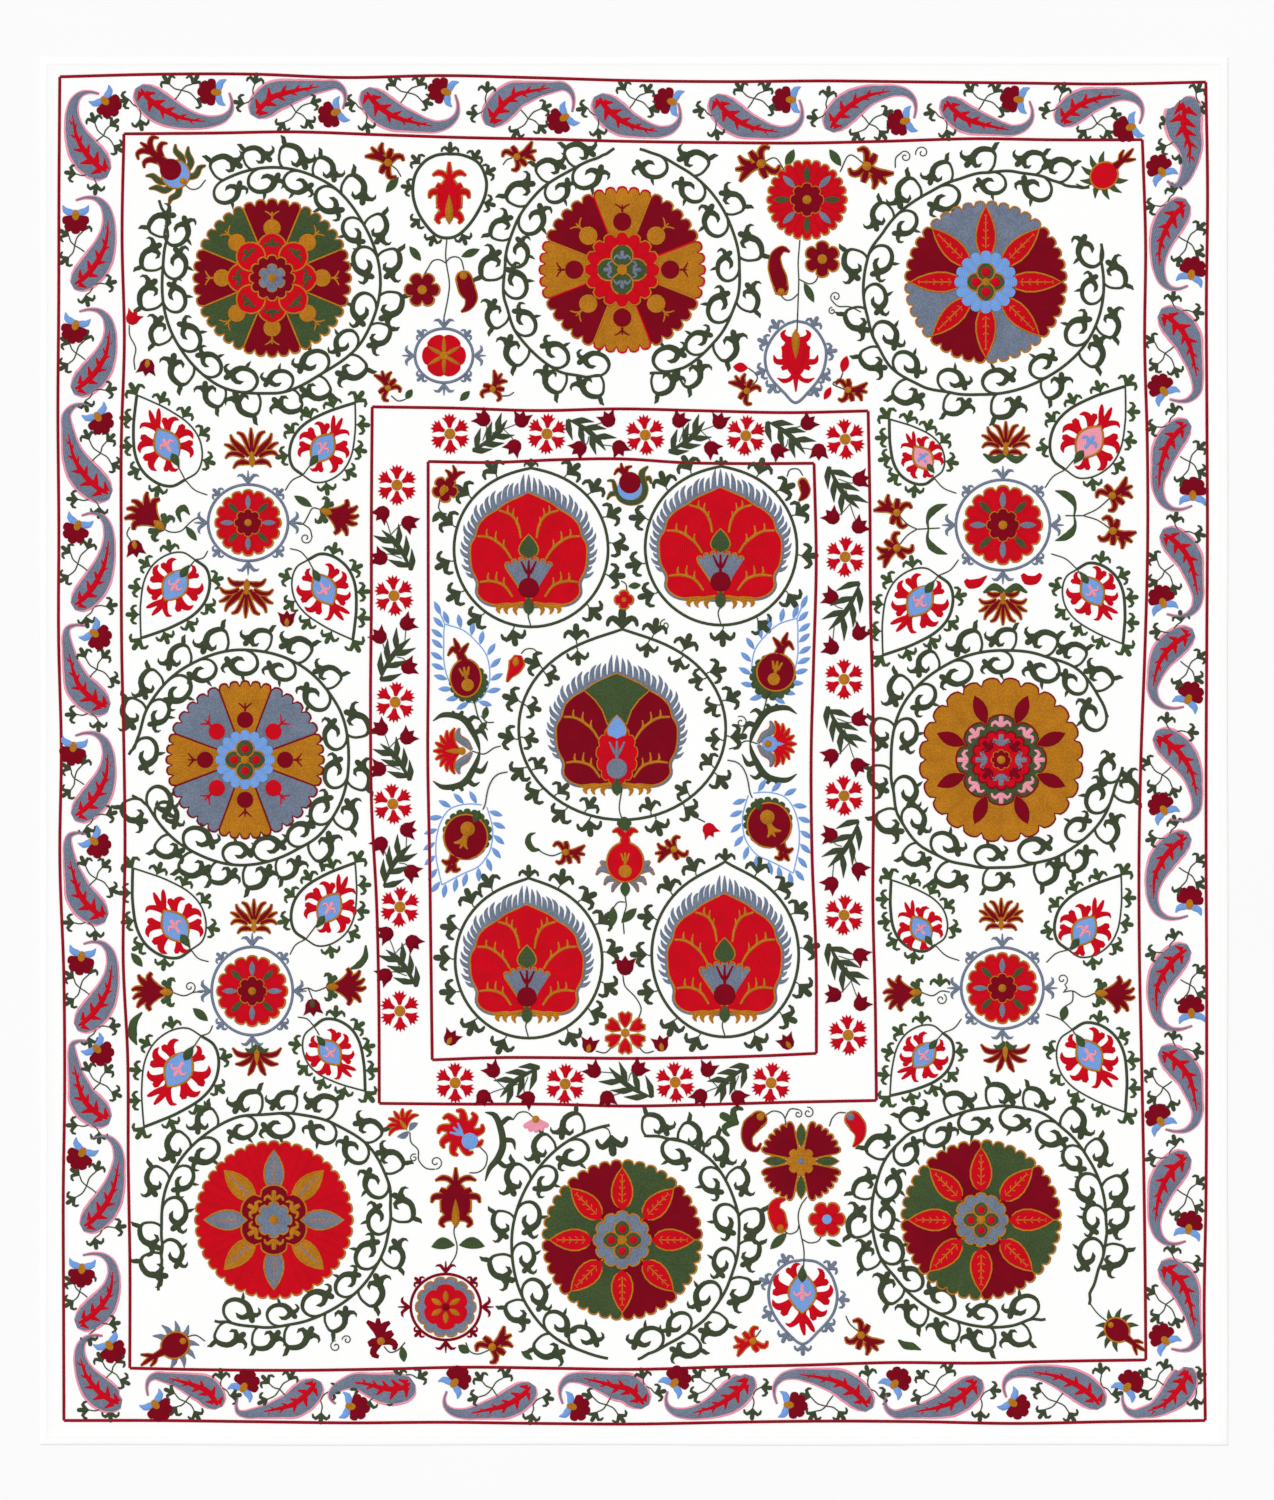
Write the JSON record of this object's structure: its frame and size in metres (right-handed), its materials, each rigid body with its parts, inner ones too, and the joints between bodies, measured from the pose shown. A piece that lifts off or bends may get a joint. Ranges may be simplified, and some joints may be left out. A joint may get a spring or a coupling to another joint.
{
  "type": "suzani embroidered textile",
  "caption": "Flat rectangular cotton cloth, hemmed all round, covered in raised chain-stitched rosettes, palmettes and vines inside a border of paisleys.",
  "frame": {"origin": "centre of the cloth's underside, on the surface it lies on", "axes": "+X to the right across the cloth's width, +Y up its length to its upper edge, +Z out of its embroidered face"},
  "size_m": [2.02, 2.36, 0.0028],
  "materials": {
    "cotton_ground": "plain-woven white cotton",
    "thread_red": "chain-stitched scarlet thread, slight sheen",
    "thread_maroon": "chain-stitched dark crimson thread, slight sheen",
    "thread_green": "chain-stitched dark green thread, slight sheen",
    "thread_gold": "chain-stitched ochre gold thread, slight sheen",
    "thread_grey": "chain-stitched blue-grey thread, slight sheen"
  },
  "bodies": {
    "root": {"ground_cloth": "cotton_ground", "line_outer": "thread_red", "line_field": "thread_red", "line_panel": "thread_red", "line_centre": "thread_red", "rosette_nw": "thread_maroon", "rosette_n": "thread_gold", "rosette_ne": "thread_maroon", "rosette_w": "thread_grey", "rosette_e": "thread_gold", "rosette_sw": "thread_red", "rosette_s": "thread_green", "rosette_se": "thread_maroon", "vine_nw": "thread_green", "vine_n_left": "thread_green", "vine_n_right": "thread_green", "vine_ne": "thread_green", "vine_w": "thread_green", "vine_e": "thread_green", "vine_sw": "thread_green", "vine_s_left": "thread_green", "vine_s_right": "thread_green", "vine_se": "thread_green", "medallion_w_upper": "thread_red", "medallion_w_lower": "thread_red", "medallion_e_upper": "thread_red", "medallion_e_lower": "thread_red", "medallion_n_left": "thread_red", "medallion_s_left": "thread_grey", "medallion_n_right": "thread_red", "medallion_s_right": "thread_maroon", "ring_w_upper": "thread_grey", "ring_w_lower": "thread_grey", "ring_e_upper": "thread_grey", "ring_e_lower": "thread_grey", "ring_n_left": "thread_grey", "ring_s_left": "thread_maroon", "ring_drop_n_left": "thread_green", "ring_drop_n_right": "thread_grey", "ring_drop_s_right": "thread_grey", "palmette_nw": "thread_red", "ogive_nw": "thread_green", "palmette_ne": "thread_red", "ogive_ne": "thread_green", "palmette_centre": "thread_maroon", "ogive_centre": "thread_green", "palmette_sw": "thread_red", "ogive_sw": "thread_green", "palmette_se": "thread_red", "ogive_se": "thread_green"}
  },
  "joints": []
}
